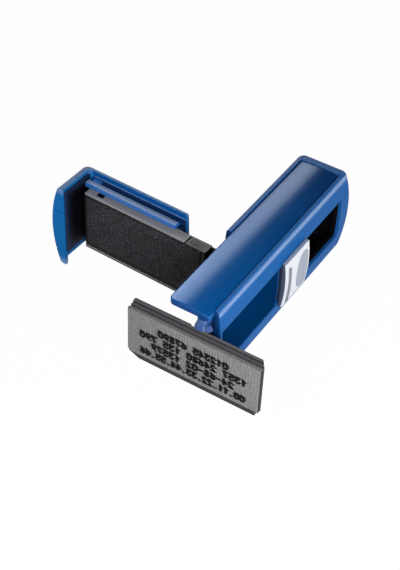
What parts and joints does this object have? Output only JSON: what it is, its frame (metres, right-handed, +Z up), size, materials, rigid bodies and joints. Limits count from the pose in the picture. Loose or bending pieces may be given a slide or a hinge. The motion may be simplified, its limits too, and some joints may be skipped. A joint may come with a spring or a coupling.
{
  "type": "pocket self-inking stamp",
  "caption": "Folding pocket stamp: slim case with a thumb slider, a rubber die on a hinged mount at the front and a hinged ink-pad wing at the side.",
  "frame": {"origin": "centre of the underside at half the case's length and width, on the surface it stands on", "axes": "+Z up, +Y towards the closed rear of the case, +X towards the side with the button; the rubber faces -Y and the open wing reaches out along -X"},
  "size_m": [0.0818, 0.0787, 0.0278],
  "materials": {
    "satin_blue": "satin with fine speckle",
    "gloss_blue": "high gloss",
    "panel_blue": "smooth satin",
    "dark_plastic": "matt",
    "black_rubber": "matt",
    "steel": "ground",
    "white_plastic": "satin",
    "grey_plastic": "matt",
    "wing_blue": "satin",
    "tray_black": "matt",
    "ink_felt": "inked felt",
    "mount_grey": "matt",
    "foam": "closed-cell foam",
    "stamp_rubber": "fine woven grain"
  },
  "bodies": {
    "case": {"housing_shell": "satin_blue", "top_cover": "gloss_blue", "bottom_cover": "gloss_blue", "side_panel": "panel_blue", "chassis": "dark_plastic", "hinge_boss": "satin_blue", "liner_plate": "dark_plastic", "rear_stop": "black_rubber", "wing_pin": "steel", "die_pin": "steel"},
    "slider": {"slider_plate": "dark_plastic", "slide_button": "white_plastic", "thumb_pad": "grey_plastic", "grip_ridge": "grey_plastic"},
    "bracket": {"timing_bracket": "steel"},
    "wing": {"wing_shell": "wing_blue", "end_liner": "dark_plastic", "wing_rail": "wing_blue", "wing_clip": "wing_blue", "hinge_arm": "dark_plastic", "cartridge_tray": "tray_black", "ink_pad": "ink_felt"},
    "die": {"die_knuckle": "satin_blue", "die_mount": "mount_grey", "cushion_sheet": "foam", "rubber_plate": "stamp_rubber"}
  },
  "joints": [
    {"name": "wing_swing", "type": "hinge", "parent": "case", "child": "bracket", "pos_m": [-0.0041, -0.0092, 0.0139], "axis": [0, 0, 1], "range_deg": [0, 68.13]},
    {"name": "wing_close", "type": "hinge", "parent": "bracket", "child": "wing", "pos_m": [-0.0041, -0.0092, 0.0139], "axis": [0, 0, 1], "range_deg": [0, 24]},
    {"name": "die_fold", "type": "hinge", "parent": "case", "child": "die", "pos_m": [0.0043, -0.03562, 0.0139], "axis": [0, 0, -1], "range_deg": [0, 90]},
    {"name": "button_slide", "type": "slide", "parent": "case", "child": "slider", "axis": [0, 1, 0], "range_m": [0, 0.0205]}
  ],
  "couplings": [
    {"joint": "die_fold", "follows": "wing_swing", "ratio": 1.321}
  ]
}
